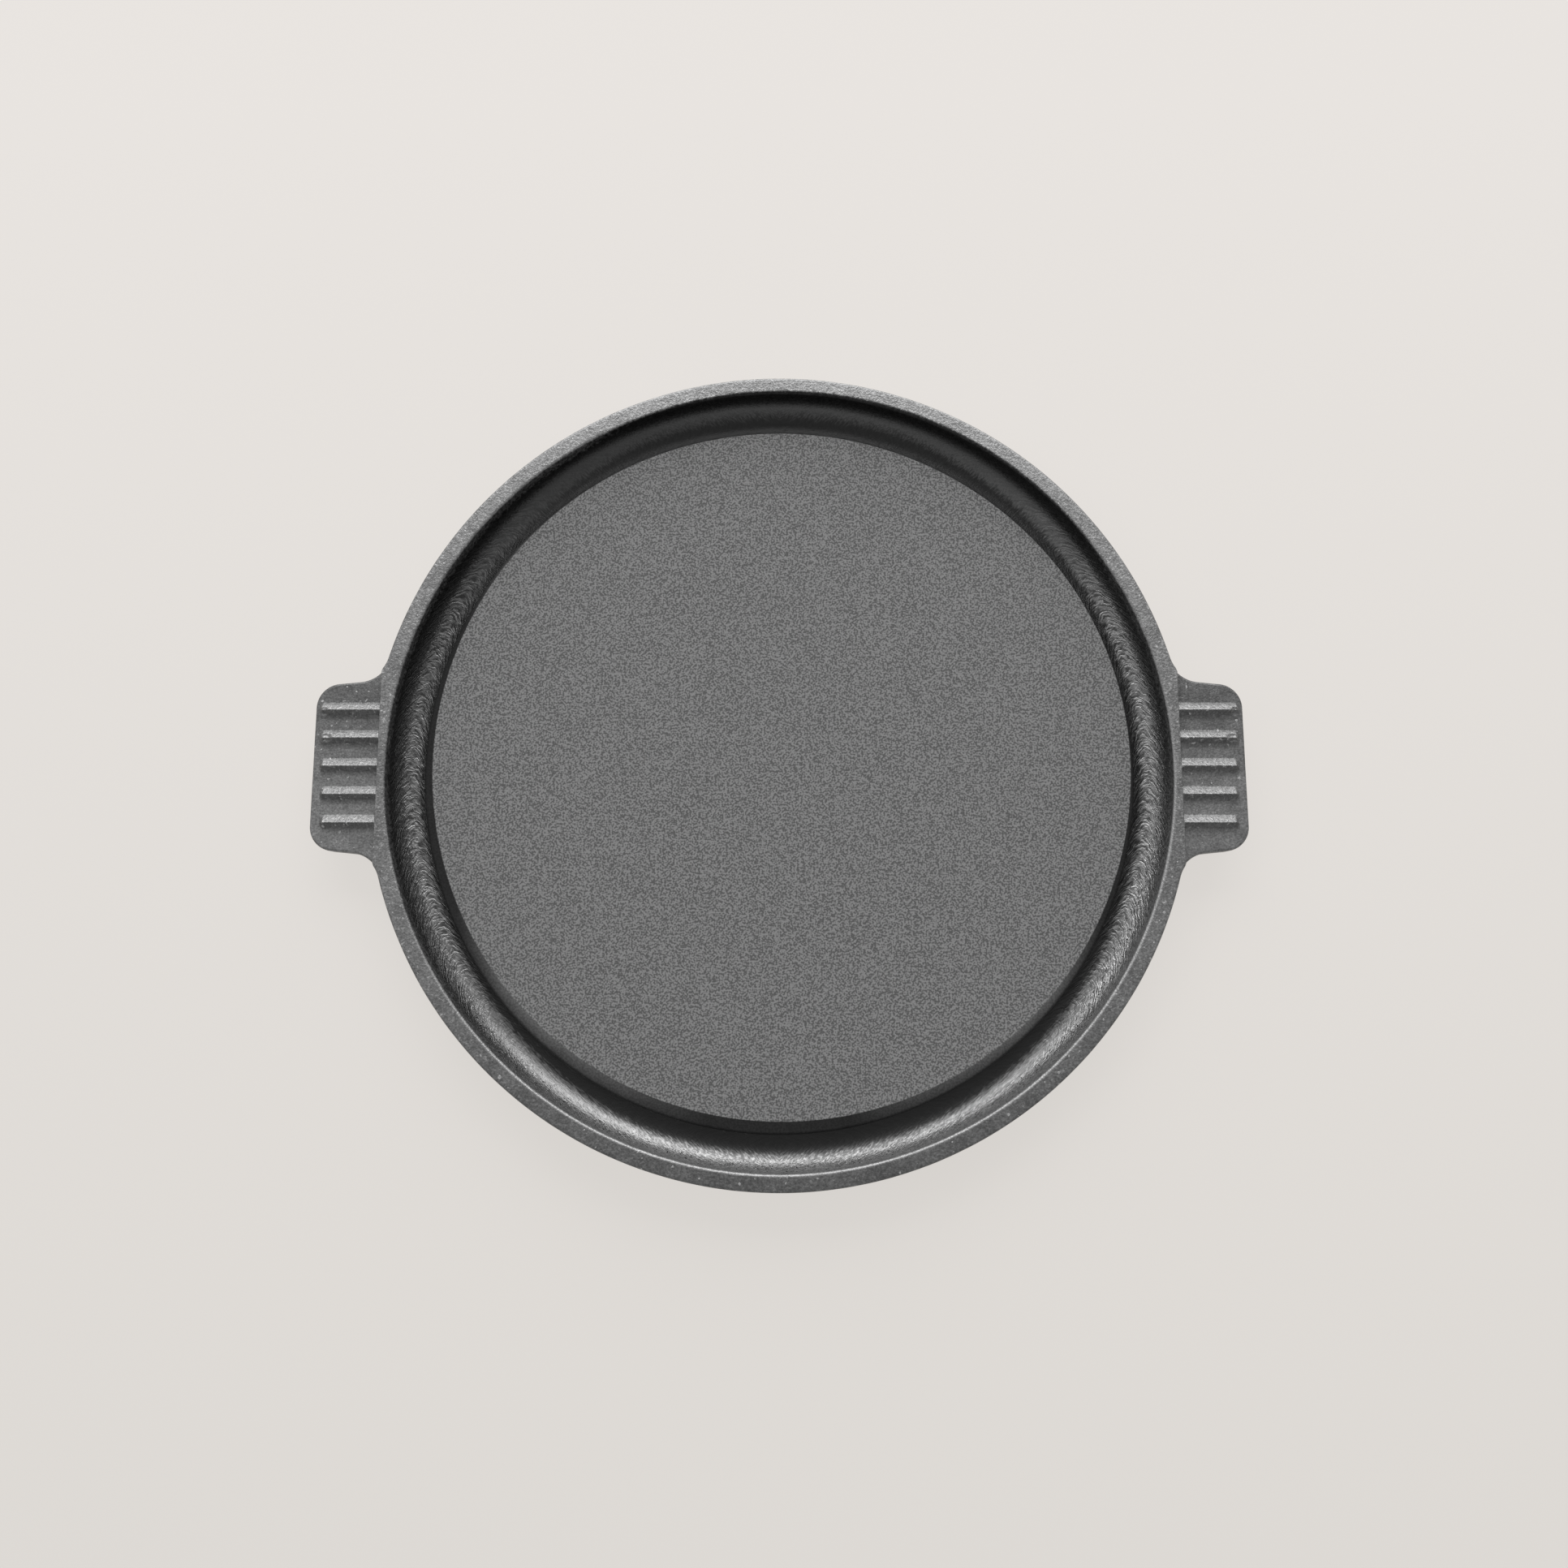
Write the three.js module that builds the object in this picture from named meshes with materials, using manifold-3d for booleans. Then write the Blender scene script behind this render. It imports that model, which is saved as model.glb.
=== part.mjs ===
// Round cast iron griddle plate: a raised, flat cooking face inside a drip gutter, an upright rim
// with a flat top, a low heat ring underneath, and two tab handles with grip ridges.
// Millimetres, +Z up. The origin is on the surface that the plate stands on, under its centre.
// The handles point along +X and -X.

import * as THREE from "three";
import { mergeVertices } from "three/addons/utils/BufferGeometryUtils.js";
import Module from "manifold-3d";

const wasm = await Module();
wasm.setup();

// Rim, gutter and cooking face, measured in the plan or along the section
const OUTER_RADIUS = 150; // outside of the rim at its top
const RIM_WIDTH = 6.4; // flat top of the rim, with both rounded edges
const UPPER_WALL = 2.5; // upright part of the inner wall, above the cove
const COVE_RADIUS = 8.5; // the gutter's hollow curve, which runs up into the wall
const GUTTER_INNER_RUN = 3.3; // from the gutter's lowest line in to the cooking face's edge
const COOKING_FACE_RISE = 2.6; // cooking face above the gutter's lowest line
const COOKING_EDGE_RADIUS = 1.2; // rounded edge of the cooking face
const EDGE_RADIUS = 1; // rounded edges of the rim and the handles
const STEP_EDGE_RADIUS = 0.5; // crisper edge where the rim drops to a sunken grip
const WALL_DRAFT = THREE.MathUtils.degToRad(2); // slope that lets the casting leave its mould

// Base plate and heat ring
const FLOOR_THICKNESS = 5; // iron under the gutter
const RECESS_DEPTH = 2.5; // hollow underside within the heat ring, which keeps the iron even
const BOTTOM_CORNER_RADIUS = 3; // rounded corner between the outer wall and the underside
const HEAT_RING_INSET = 24; // from the rim's outside to the ring's outside
const HEAT_RING_WIDTH = 8;
const HEAT_RING_HEIGHT = 2;
const HEAT_RING_EDGE = 0.7; // rounded edges of the ring's foot

// Handles
const HANDLE_REACH = 20.8; // from the rim's outside to the handle's tip
const RIM_LEDGE = 3.1; // rim top left between its inner edge and the sunken grip
const HANDLE_TAPER = THREE.MathUtils.degToRad(5.5); // each side narrows towards the tip
const HANDLE_CORNER_RADIUS = 9;
const ROOT_FILLET_RADIUS = 12; // hollow corner between a handle and the rim
const TIP_THICKNESS = 6.5;
const RIDGE_COUNT = 5;
const RIDGE_PITCH = 10.4;
const RIDGE_WIDTH = 5.8;
const RIDGE_HEIGHT = 2; // the grip is sunk by this much, so the ridges end level with the rim
const RIDGE_END_GAP = 2.6; // from a ridge's round end to the handle's tip
const GRIP_MARGIN = 9.4; // from the outermost ridge's middle to the handle's side, at the tip

// Fineness of the curved faces
const ROUND_STEPS = 96; // steps in a full turn
const COVE_STEPS = 6;
const FOOT_STEPS = 3;
const EDGE_STEPS = 3;
const FILLET_STEPS = 4;
const STEP_FACE_STEPS = 4;
const CORNER_STEPS = 5;
const UNDERSIDE_STEPS = 4;
const RIDGE_ARC_STEPS = 6;
const RIDGE_END_STEPS = 4;
const RIDGE_ROOT_DEPTH = 0.5; // each ridge starts this far inside the grip
const RIDGE_END_TURN = THREE.MathUtils.degToRad(80); // how far a ridge's end curves over
const SAME_POINT = 1e-4; // points closer than this are one

// Levels
const UNDERSIDE_Z = HEAT_RING_HEIGHT;
const GUTTER_Z = UNDERSIDE_Z + FLOOR_THICKNESS;
const COVE_TOP_Z = GUTTER_Z + COVE_RADIUS;
const RIM_TOP_Z = COVE_TOP_Z + UPPER_WALL;
const COOKING_FACE_Z = GUTTER_Z + COOKING_FACE_RISE;
const GRIP_Z = RIM_TOP_Z - RIDGE_HEIGHT;

// Radii and lengths in the plan
const INNER_RADIUS = OUTER_RADIUS - RIM_WIDTH;
const COVE_END_RADIUS = INNER_RADIUS - UPPER_WALL * Math.tan(WALL_DRAFT);
const COVE_START_RADIUS = COVE_END_RADIUS - COVE_RADIUS;
const COOKING_RADIUS = COVE_START_RADIUS - GUTTER_INNER_RUN;
const STEP_X = INNER_RADIUS + RIM_LEDGE; // face between the rim and a sunken grip
const TIP_X = OUTER_RADIUS + HANDLE_REACH;
const TIP_HALF_WIDTH = ((RIDGE_COUNT - 1) * RIDGE_PITCH) / 2 + GRIP_MARGIN;

// Outline of a handle's +Y side: a straight, tapered side between a rounded tip corner and a
// hollow root fillet, which runs tangent into the rim's outside
function handleOutline() {
  const sin = Math.sin(HANDLE_TAPER);
  const cos = Math.cos(HANDLE_TAPER);
  const offset = TIP_X * sin + TIP_HALF_WIDTH * cos;
  const filletOffset = offset + ROOT_FILLET_RADIUS;
  const filletReach = OUTER_RADIUS + ROOT_FILLET_RADIUS;
  const along = Math.sqrt(filletReach ** 2 - filletOffset ** 2);
  const fillet = new THREE.Vector2(filletOffset * sin + along * cos, filletOffset * cos - along * sin);
  const corner = new THREE.Vector2(
    TIP_X - HANDLE_CORNER_RADIUS,
    TIP_HALF_WIDTH - (HANDLE_CORNER_RADIUS * (1 - sin)) / cos,
  );
  return {
    fillet,
    corner,
    filletEndX: fillet.x - ROOT_FILLET_RADIUS * sin,
    cornerStartX: corner.x + HANDLE_CORNER_RADIUS * sin,
    tangentAngle: Math.atan2(fillet.y, fillet.x),
  };
}

const OUTLINE = handleOutline();

// Half the handle's width at a distance x from the plate's middle
function halfWidth(x) {
  if (x < OUTLINE.filletEndX) {
    const drop = Math.sqrt(ROOT_FILLET_RADIUS ** 2 - (x - OUTLINE.fillet.x) ** 2);
    return OUTLINE.fillet.y - drop;
  }
  if (x < OUTLINE.cornerStartX) return TIP_HALF_WIDTH + (TIP_X - x) * Math.tan(HANDLE_TAPER);
  const rise = Math.sqrt(Math.max(0, HANDLE_CORNER_RADIUS ** 2 - (x - OUTLINE.corner.x) ** 2));
  return OUTLINE.corner.y + rise;
}

// Points on an arc, angles in radians, both ends included
function arc(centreX, centreY, radius, from, to, steps) {
  return Array.from({ length: steps + 1 }, (_, i) => {
    const angle = from + ((to - from) * i) / steps;
    return new THREE.Vector2(centreX + radius * Math.cos(angle), centreY + radius * Math.sin(angle));
  });
}

// A solid of revolution about Z. The profile holds (radius, height) points.
function revolve(profile) {
  const geometry = new THREE.LatheGeometry(profile, ROUND_STEPS);
  geometry.rotateX(Math.PI / 2);
  return geometry;
}

// A skin over sections of equally many points. Each section runs anticlockwise as seen from the
// next one. A closed loft is a ring; an open one gets a flat face at each end.
function loft(sections, closed) {
  const size = sections[0].length;
  const positions = [];
  const addTriangle = (...corners) => {
    const shortest = Math.min(...corners.map((p, i) => p.distanceTo(corners[(i + 1) % 3])));
    if (shortest > SAME_POINT) corners.forEach((p) => positions.push(p.x, p.y, p.z));
  };
  const spans = closed ? sections.length : sections.length - 1;
  for (let s = 0; s < spans; s += 1) {
    const near = sections[s];
    const far = sections[(s + 1) % sections.length];
    for (let i = 0; i < size; i += 1) {
      const j = (i + 1) % size;
      addTriangle(near[i], near[j], far[i]);
      addTriangle(near[j], far[j], far[i]);
    }
  }
  if (!closed) {
    const first = sections[0];
    const last = sections[sections.length - 1];
    for (let i = 1; i < size - 1; i += 1) {
      addTriangle(first[0], first[i + 1], first[i]);
      addTriangle(last[0], last[i], last[i + 1]);
    }
  }
  const geometry = new THREE.BufferGeometry();
  geometry.setAttribute("position", new THREE.Float32BufferAttribute(positions, 3));
  return mergeVertices(geometry, SAME_POINT);
}

// A closed mesh as a solid that can be joined to others
function toSolid(geometry) {
  const bare = geometry.clone();
  bare.deleteAttribute("normal");
  bare.deleteAttribute("uv");
  const merged = mergeVertices(bare, SAME_POINT);
  return new wasm.Manifold(
    new wasm.Mesh({
      numProp: 3,
      vertProperties: new Float32Array(merged.attributes.position.array),
      triVerts: new Uint32Array(merged.index.array),
    }),
  );
}

function toGeometry(solid) {
  const mesh = solid.getMesh();
  const geometry = new THREE.BufferGeometry();
  geometry.setAttribute("position", new THREE.BufferAttribute(mesh.vertProperties, 3));
  geometry.setIndex(new THREE.BufferAttribute(mesh.triVerts, 1));
  return geometry;
}

// Floor of the plate: flat where the other zones stand on it, recessed underneath within the
// heat ring
function basePlate() {
  const recessRadius = OUTER_RADIUS - HEAT_RING_INSET - HEAT_RING_WIDTH;
  const wallRadius = OUTER_RADIUS - (RIM_TOP_Z - GUTTER_Z) * Math.tan(WALL_DRAFT);
  const bottomRadius = wallRadius - FLOOR_THICKNESS * Math.tan(WALL_DRAFT);
  const corner = arc(
    bottomRadius - BOTTOM_CORNER_RADIUS,
    UNDERSIDE_Z + BOTTOM_CORNER_RADIUS,
    BOTTOM_CORNER_RADIUS,
    -Math.PI / 2,
    0,
    EDGE_STEPS,
  );
  return revolve([
    new THREE.Vector2(0, UNDERSIDE_Z + RECESS_DEPTH),
    new THREE.Vector2(recessRadius - RECESS_DEPTH, UNDERSIDE_Z + RECESS_DEPTH),
    new THREE.Vector2(recessRadius, UNDERSIDE_Z),
    ...corner,
    new THREE.Vector2(wallRadius, GUTTER_Z),
    new THREE.Vector2(0, GUTTER_Z),
  ]);
}

// Raised cooking face with its rounded edge. Its foot carries the gutter's curve on to the edge,
// so that the gutter is one hollow arc.
function cookingSurface() {
  const footTurn = Math.asin(GUTTER_INNER_RUN / COVE_RADIUS);
  const foot = arc(
    COVE_START_RADIUS,
    COVE_TOP_Z,
    COVE_RADIUS,
    -Math.PI / 2,
    -Math.PI / 2 - footTurn,
    FOOT_STEPS,
  );
  const edge = arc(
    COOKING_RADIUS - COOKING_EDGE_RADIUS,
    COOKING_FACE_Z - COOKING_EDGE_RADIUS,
    COOKING_EDGE_RADIUS,
    0,
    Math.PI / 2,
    EDGE_STEPS,
  );
  return revolve([
    new THREE.Vector2(0, GUTTER_Z),
    ...foot,
    ...edge,
    new THREE.Vector2(0, COOKING_FACE_Z),
  ]);
}

// Low ring that the plate stands on, with rounded edges at its foot
function heatRing() {
  const outside = OUTER_RADIUS - HEAT_RING_INSET;
  const inside = outside - HEAT_RING_WIDTH;
  const edge = HEAT_RING_EDGE;
  const inner = arc(inside + edge, edge, edge, -Math.PI, -Math.PI / 2, EDGE_STEPS);
  const outer = arc(outside - edge, edge, edge, -Math.PI / 2, 0, EDGE_STEPS);
  return revolve([
    new THREE.Vector2(inside, UNDERSIDE_Z),
    ...inner,
    ...outer,
    new THREE.Vector2(outside, UNDERSIDE_Z),
    new THREE.Vector2(inside, UNDERSIDE_Z),
  ]);
}

// Plan of the rim's outside over a quarter turn: the step face by the handle, the root fillet
// and the round wall. The step face has no draft, so that the handle meets it flat.
function rimQuarter() {
  const cornerY = halfWidth(STEP_X);
  const cornerAngle = Math.atan2(cornerY - OUTLINE.fillet.y, STEP_X - OUTLINE.fillet.x);
  const tangentOnFillet = OUTLINE.tangentAngle - Math.PI;
  const stepFace = Array.from({ length: STEP_FACE_STEPS + 1 }, (_, i) => ({
    x: STEP_X,
    y: (cornerY * i) / STEP_FACE_STEPS,
    draft: 0,
    edge: STEP_EDGE_RADIUS,
  }));
  const fillet = arc(
    OUTLINE.fillet.x,
    OUTLINE.fillet.y,
    ROOT_FILLET_RADIUS,
    cornerAngle,
    tangentOnFillet,
    FILLET_STEPS,
  );
  const sweep = Math.PI / 2 - OUTLINE.tangentAngle;
  const wallSteps = Math.ceil((sweep / (2 * Math.PI)) * ROUND_STEPS);
  const wall = arc(0, 0, OUTER_RADIUS, OUTLINE.tangentAngle, Math.PI / 2, wallSteps);
  const drafted = [...fillet.slice(1), ...wall.slice(1)];
  return [...stepFace, ...drafted.map(({ x, y }) => ({ x, y, draft: WALL_DRAFT, edge: EDGE_RADIUS }))];
}

// The quarter mirrored all the way round, anticlockwise from +X
function rimPlan() {
  const quarter = rimQuarter();
  const reversed = [...quarter].reverse();
  const mirror = (points, signX, signY) => points.map((p) => ({ ...p, x: signX * p.x, y: signY * p.y }));
  return [
    ...quarter.slice(0, -1),
    ...mirror(reversed, -1, 1).slice(0, -1),
    ...mirror(quarter, -1, -1).slice(0, -1),
    ...mirror(reversed, 1, -1).slice(0, -1),
  ];
}

// Upright rim: cove and wall inside, flat top, drafted wall outside, flared where a handle grows
// out of it
function rimWall() {
  const cove = arc(COVE_START_RADIUS, COVE_TOP_Z, COVE_RADIUS, -Math.PI / 2, 0, COVE_STEPS);
  const innerEdge = arc(
    INNER_RADIUS + EDGE_RADIUS,
    RIM_TOP_Z - EDGE_RADIUS,
    EDGE_RADIUS,
    Math.PI,
    Math.PI / 2,
    EDGE_STEPS,
  );
  const sections = rimPlan().map((point) => {
    const angle = Math.atan2(point.y, point.x);
    const reach = Math.hypot(point.x, point.y);
    const outerEdge = arc(reach - point.edge, RIM_TOP_Z - point.edge, point.edge, Math.PI / 2, 0, EDGE_STEPS);
    const foot = new THREE.Vector2(reach - (RIM_TOP_Z - GUTTER_Z) * Math.tan(point.draft), GUTTER_Z);
    return [...cove, ...innerEdge, ...outerEdge, foot].map(
      (p) => new THREE.Vector3(p.x * Math.cos(angle), p.x * Math.sin(angle), p.y),
    );
  });
  return loft(sections, true);
}

// Height of the handle's underside: level over the base plate, then sweeping up to the tip
function undersideZ(x) {
  const share = Math.max(0, x - OUTER_RADIUS) / HANDLE_REACH;
  const rise = GRIP_Z - TIP_THICKNESS - GUTTER_Z;
  return GUTTER_Z + rise * Math.sin((share * Math.PI) / 2);
}

// Places along X where the handle's section changes
function handleStations() {
  const between = (from, to, steps) =>
    Array.from({ length: steps }, (_, i) => from + ((to - from) * i) / steps);
  const cornerAngles = between(Math.PI / 2 - HANDLE_TAPER, 0, CORNER_STEPS);
  const corner = cornerAngles.map((a) => OUTLINE.corner.x + HANDLE_CORNER_RADIUS * Math.cos(a));
  const edgeAngles = between(Math.PI / 2, 0, EDGE_STEPS);
  const edge = edgeAngles.map((a) => TIP_X - EDGE_RADIUS + EDGE_RADIUS * Math.cos(a));
  const stations = [
    ...between(STEP_X, OUTLINE.filletEndX, FILLET_STEPS),
    ...between(OUTLINE.filletEndX, OUTLINE.cornerStartX, UNDERSIDE_STEPS),
    ...corner.filter((x) => x < TIP_X - EDGE_RADIUS),
    ...edge,
    TIP_X,
  ];
  return stations.sort((a, b) => a - b);
}

// Section of the handle at x, anticlockwise as seen from its tip, with rounded edges
function handleSection(x) {
  const past = Math.max(0, x - (TIP_X - EDGE_RADIUS));
  const cut = EDGE_RADIUS - Math.sqrt(Math.max(0, EDGE_RADIUS ** 2 - past ** 2));
  const side = halfWidth(x);
  const cornerInset = (HANDLE_CORNER_RADIUS - EDGE_RADIUS) ** 2 - (x - OUTLINE.corner.x) ** 2;
  const flat = x < OUTLINE.cornerStartX
    ? side - EDGE_RADIUS
    : OUTLINE.corner.y + Math.sqrt(Math.max(0, cornerInset));
  const sideTop = GRIP_Z - EDGE_RADIUS;
  const sideBottom = undersideZ(x) + EDGE_RADIUS;
  const height = EDGE_RADIUS - cut;
  const corner = (signY, signZ, level, from, to) =>
    arc(0, 0, 1, from, to, EDGE_STEPS).map(
      (p) => new THREE.Vector3(
        x,
        signY * (flat + (side - flat) * Math.abs(p.x)),
        level + signZ * height * Math.abs(p.y),
      ),
    );
  return [
    ...corner(1, -1, sideBottom, Math.PI / 2, 0),
    ...corner(1, 1, sideTop, 0, Math.PI / 2),
    ...corner(-1, 1, sideTop, Math.PI / 2, 0),
    ...corner(-1, -1, sideBottom, 0, Math.PI / 2),
  ];
}

// Half-round grip ridge along X at the given y, with a round outer end
function ridge(y) {
  const half = RIDGE_WIDTH / 2;
  const radius = (half ** 2 + RIDGE_HEIGHT ** 2) / (2 * RIDGE_HEIGHT);
  const spread = Math.asin(half / radius);
  const endX = TIP_X - RIDGE_END_GAP - half;
  const section = (x, scale) => {
    const [from, to] = [Math.PI / 2 - spread, Math.PI / 2 + spread];
    const crown = arc(0, RIDGE_HEIGHT - radius, radius, from, to, RIDGE_ARC_STEPS);
    const outline = [
      new THREE.Vector2(-half, -RIDGE_ROOT_DEPTH),
      new THREE.Vector2(half, -RIDGE_ROOT_DEPTH),
      ...crown,
    ];
    return outline.map((p) => {
      const z = p.y < 0 ? p.y : p.y * scale;
      return new THREE.Vector3(x, y + p.x * scale, GRIP_Z + z);
    });
  };
  const sections = [section(STEP_X, 1)];
  for (let i = 0; i <= RIDGE_END_STEPS; i += 1) {
    const angle = (RIDGE_END_TURN * i) / RIDGE_END_STEPS;
    sections.push(section(endX + half * Math.sin(angle), Math.cos(angle)));
  }
  return loft(sections, false);
}

// Tab handle pointing along +X, with its grip ridges
function handle() {
  let solid = toSolid(loft(handleStations().map(handleSection), false));
  for (let i = 0; i < RIDGE_COUNT; i += 1) {
    const y = (i - (RIDGE_COUNT - 1) / 2) * RIDGE_PITCH;
    solid = solid.add(toSolid(ridge(y)));
  }
  return toGeometry(solid);
}

// Finishes: rough grey casting, seasoned black in the gutter, grainy grey on the cooking face
const FINISHES = {
  casting: { color: 0x5c5c5c, roughness: 0.62, metalness: 0.55 },
  gutter: { color: 0x242424, roughness: 0.38, metalness: 0.55 },
  cooking: { color: 0x6f6f6f, roughness: 0.85, metalness: 0.2 },
  underside: { color: 0x3c3c3c, roughness: 0.75, metalness: 0.45 },
};

function part(name, geometry, finish, turn = 0) {
  geometry.computeVertexNormals();
  const mesh = new THREE.Mesh(geometry, new THREE.MeshStandardMaterial(FINISHES[finish]));
  mesh.name = name;
  mesh.rotation.z = turn;
  return mesh;
}

const griddle = new THREE.Group();
griddle.add(
  part("base_plate", basePlate(), "gutter"),
  part("cooking_surface", cookingSurface(), "cooking"),
  part("rim_wall", rimWall(), "casting"),
  part("heat_ring", heatRing(), "underside"),
  part("right_handle", handle(), "casting"),
  part("left_handle", handle(), "casting", Math.PI),
);

export default griddle;
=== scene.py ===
# Round cast iron griddle plate, dressed for rendering: one seamless casting with its cooking face
# and two ridged tab handles, on a pale floor under soft studio light. Metres, in the CAD frame.

import math
from types import SimpleNamespace

import bpy
import numpy as np
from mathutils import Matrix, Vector


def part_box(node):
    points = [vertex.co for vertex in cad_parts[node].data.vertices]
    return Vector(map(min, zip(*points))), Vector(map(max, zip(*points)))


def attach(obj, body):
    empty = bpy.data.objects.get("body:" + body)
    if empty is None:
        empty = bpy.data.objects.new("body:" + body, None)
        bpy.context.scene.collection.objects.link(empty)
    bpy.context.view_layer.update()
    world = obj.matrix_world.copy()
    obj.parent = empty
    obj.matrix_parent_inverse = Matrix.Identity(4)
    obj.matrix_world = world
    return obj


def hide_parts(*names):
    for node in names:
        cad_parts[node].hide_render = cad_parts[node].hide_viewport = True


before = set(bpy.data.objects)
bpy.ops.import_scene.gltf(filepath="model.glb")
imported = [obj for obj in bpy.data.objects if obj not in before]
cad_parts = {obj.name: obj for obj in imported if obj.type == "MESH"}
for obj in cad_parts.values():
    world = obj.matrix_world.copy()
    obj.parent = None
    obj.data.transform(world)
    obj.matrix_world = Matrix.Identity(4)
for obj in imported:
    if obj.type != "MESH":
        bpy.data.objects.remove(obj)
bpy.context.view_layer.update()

MM = 0.001

# Upper corners of the CAD nodes' boxes
base_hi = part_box("base_plate")[1]
face_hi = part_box("cooking_surface")[1]
rim_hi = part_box("rim_wall")[1]
ring_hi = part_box("heat_ring")[1]
right_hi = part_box("right_handle")[1]

# Levels and radii that the frame gives
UNDERSIDE_Z = ring_hi.z
GUTTER_Z = base_hi.z
FACE_Z = face_hi.z
RIM_Z = rim_hi.z
OUTER_RADIUS = rim_hi.y
RING_RADIUS = ring_hi.x
STEP_X = rim_hi.x
TIP_X = right_hi.x

# Sizes that the boxes don't give, as the construction has them
RIM_WIDTH = 6.4 * MM
COVE_RADIUS = 8.5 * MM
UPPER_WALL = RIM_Z - GUTTER_Z - COVE_RADIUS
WALL_DRAFT = math.radians(2)
EDGE_RADIUS = 1.0 * MM
STEP_EDGE_RADIUS = 0.5 * MM
BOTTOM_CORNER_RADIUS = 3.0 * MM
RING_WIDTH = 8.0 * MM
RING_EDGE = 0.7 * MM
RECESS_DEPTH = 2.5 * MM
GUTTER_INNER_RUN = 3.3 * MM
FACE_EDGE_RADIUS = 1.2 * MM
INNER_RADIUS = OUTER_RADIUS - RIM_WIDTH
COVE_END_RADIUS = INNER_RADIUS - UPPER_WALL * math.tan(WALL_DRAFT)
COVE_START_RADIUS = COVE_END_RADIUS - COVE_RADIUS
FACE_RADIUS = COVE_START_RADIUS - GUTTER_INNER_RUN

# Handles
HANDLE_TAPER = math.radians(5.5)
HANDLE_CORNER_RADIUS = 9.0 * MM
ROOT_FILLET_RADIUS = 12.0 * MM
TIP_THICKNESS = 6.5 * MM
RIDGE_COUNT = 5
RIDGE_PITCH = 10.4 * MM
RIDGE_WIDTH = 5.8 * MM
RIDGE_HEIGHT = 2.0 * MM
RIDGE_END_GAP = 2.6 * MM
RIDGE_END_RUN = 1.6 * MM
RIDGE_END_DRIFT = 0.6 * MM  # each ridge ends this much nearer the tip than the one at its -Y side
RIDGE_CRISP_FOOT = 0.12 * MM
RIDGE_HOLLOW_FOOT = 0.6 * MM
RIDGE_BLEND = 0.4 * MM  # the crisp side turns into the hollow one within this much of the crown
GRIP_MARGIN = 9.4 * MM
GRIP_Z = RIM_Z - RIDGE_HEIGHT
TIP_HALF_WIDTH = (RIDGE_COUNT - 1) / 2 * RIDGE_PITCH + GRIP_MARGIN

# Small dents that the mould left on the two ridges at each handle's +Y side: distance from the
# tip, place along Y, and half the length and width
DENTS = (
    (3.4 * MM, 20.3 * MM, 1.5 * MM, 1.4 * MM),
    (4.7 * MM, 10.4 * MM, 2.2 * MM, 1.4 * MM),
)
DENT_DEPTH = 0.8 * MM

# How deep the pieces sit in each other, and the radius of the flat face that closes a turned skin
SUNK = 0.4 * MM
HUB_RADIUS = 4.0 * MM

# How finely the pieces are meshed: round the plate, along its section from the middle of the
# underside over the rim to the seat of the cooking face, over that face, and over a handle
TURN_STEPS = 720
RECESS_STEPS = 9
SLOPE_STEPS = 4
RING_EDGE_STEPS = 5
UNDERSIDE_STEPS = 6
BOTTOM_CORNER_STEPS = 9
FLARE_ROWS = 7
OUTER_WALL_ROWS = 9
OUTER_EDGE_ROWS = 9
RIM_TOP_SHARES = (0.25, 0.5, 0.75)
INNER_EDGE_STEPS = 9
UPPER_WALL_STEPS = 6
COVE_STEPS = 44
SEAT_STEPS = 4
FACE_EDGE_STEPS = 10
FACE_STEPS = 40
STATION_STEPS = 110
ACROSS_STEPS = 300
EDGE_CROWDING = 0.5
SIDE_ROWS = 9

# Swells and hollows of the cast skin, a share of them smaller than the rest. They only ever take
# iron away, so the casting stays in its box. The seeds choose the random numbers of the noise, and
# the lattice has this many of them each way.
SWELL_DEPTH = 0.05 * MM
SWELL_SIZE = 9.0 * MM
SMALL_SWELL_SHARE = 0.3
SMALL_SWELL_SIZE = SWELL_SIZE / 2.7
SEED = 11
PLATE_SEED = 0
HANDLE_SEED = 4
LATTICE = 32

# Sides of the plate, as directions: the one where the rim's inner edge and the gutter's wall face
# the light and carry painted light, with painted shade opposite, the one where the gutter's bed
# carries painted light, and the one where the gutter's black reaches over the rim's inner edge as
# painted shade
LIT_WALL_SIDE = (0.34, -0.94, 0.0)
BED_LIGHT_SIDE = (-0.71, -0.71, 0.0)
SHADED_EDGE_SIDE = (0.25, 0.97, 0.0)

# The groups below hold fades among their sizes and greys. A fade says where it begins and where it
# ends, and then its value at either end, or none where it runs from 0 to 1. The last word of its
# name says what it runs along: X, Y, a height or a radius, the distance to either side of the YZ
# plane, the turn away from one of the sides above as a cosine, the level of a pattern, or the share
# of a zone.

# Patterns of the cast skin. The dressing brush left slanting strokes in the gutter, and arched
# ripples that bend with an uneven drift.
SKIN_SWELL_SIZE = 7.0 * MM
PEEL_SIZE = 1.3 * MM
GRIT_SIZE = 0.7 * MM
LUMP_SIZE = 1.8 * MM
LUMP_LEVEL = (0.77, 0.82)
STROKE_WIDTH = 0.55 * MM
STROKE_LENGTH = 2.6 * MM
STROKE_SLANT = math.radians(-45)
RIPPLE_WIDTH = 0.85 * MM
RIPPLE_LENGTH = 2.4 * MM
RIPPLE_ARCH = 3.2 * MM
RIPPLE_RADIUS = COVE_START_RADIUS + 2.0 * MM
RIPPLE_DRIFT_SIZE = 3.0 * MM
RIPPLE_DRIFT_LEVEL = (0.3, 0.7, -0.8 * MM, 0.8 * MM)

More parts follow.
